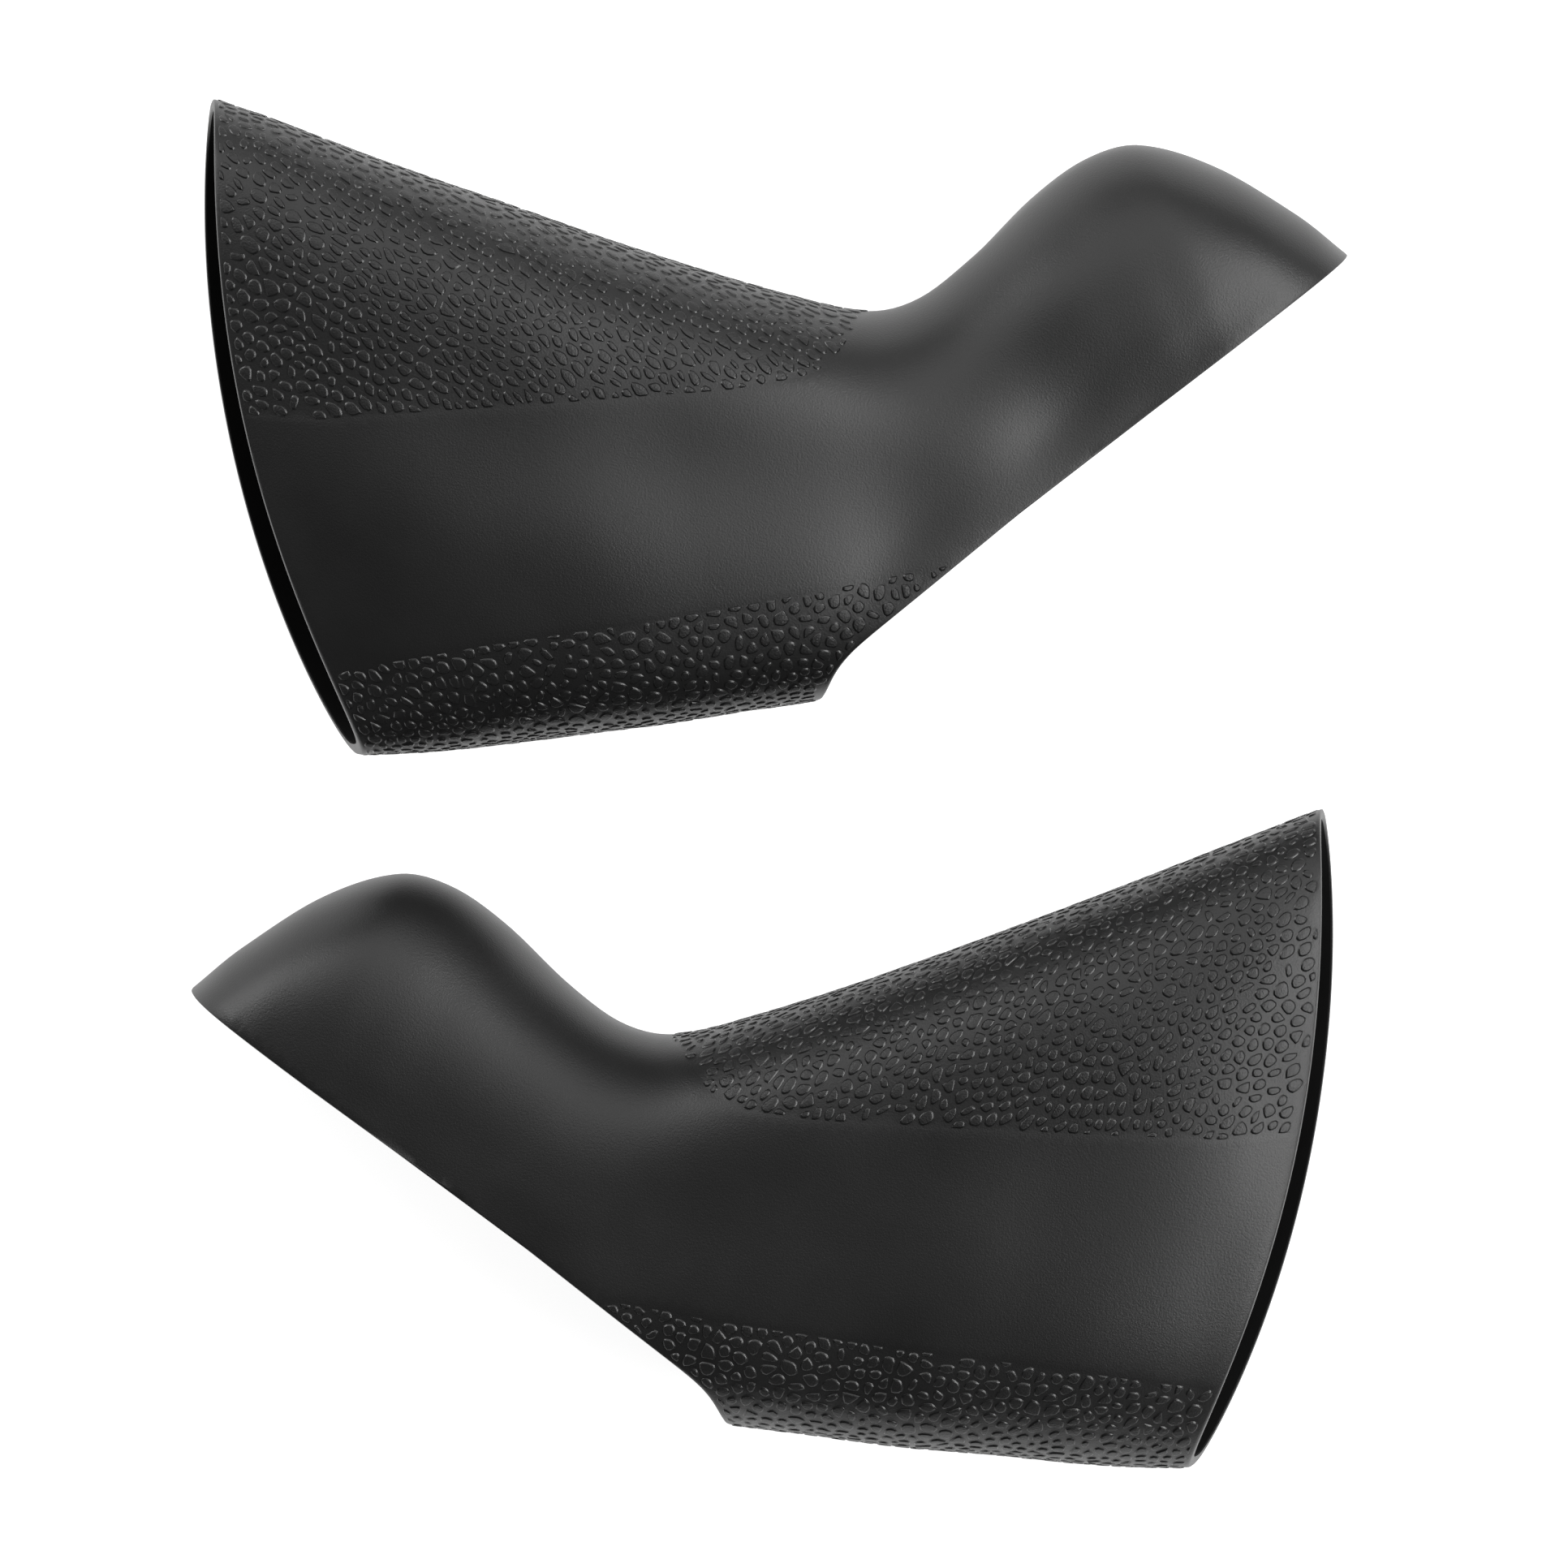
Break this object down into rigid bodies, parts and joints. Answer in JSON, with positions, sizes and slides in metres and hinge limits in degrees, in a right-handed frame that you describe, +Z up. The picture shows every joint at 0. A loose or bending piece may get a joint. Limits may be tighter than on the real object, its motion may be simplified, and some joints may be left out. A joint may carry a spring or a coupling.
{
  "type": "brake lever hood covers",
  "caption": "Pair of hollow black rubber hood covers for drop-bar brake shift levers, with raised noses, pebbled grip patches, open rear mouths and open front cuts.",
  "frame": {"origin": "centre of the bounding box at the surface both hoods lie on", "axes": "+Y from the left hood to the right hood, +X towards the right hood's nose, +Z up, out of both hoods' outer sides"},
  "size_m": [0.1214, 0.1428, 0.0409],
  "materials": {
    "black_rubber": "matt moulded rubber with a fine grain and raised pebbled patches"
  },
  "bodies": {
    "right": {"hood_right": "black_rubber"},
    "left": {"hood_left": "black_rubber"}
  },
  "joints": [
    {"name": "left_hood_draws_away", "type": "slide", "parent": "right", "child": "left", "axis": [0, -1, 0], "range_m": [0, 0.1]}
  ]
}
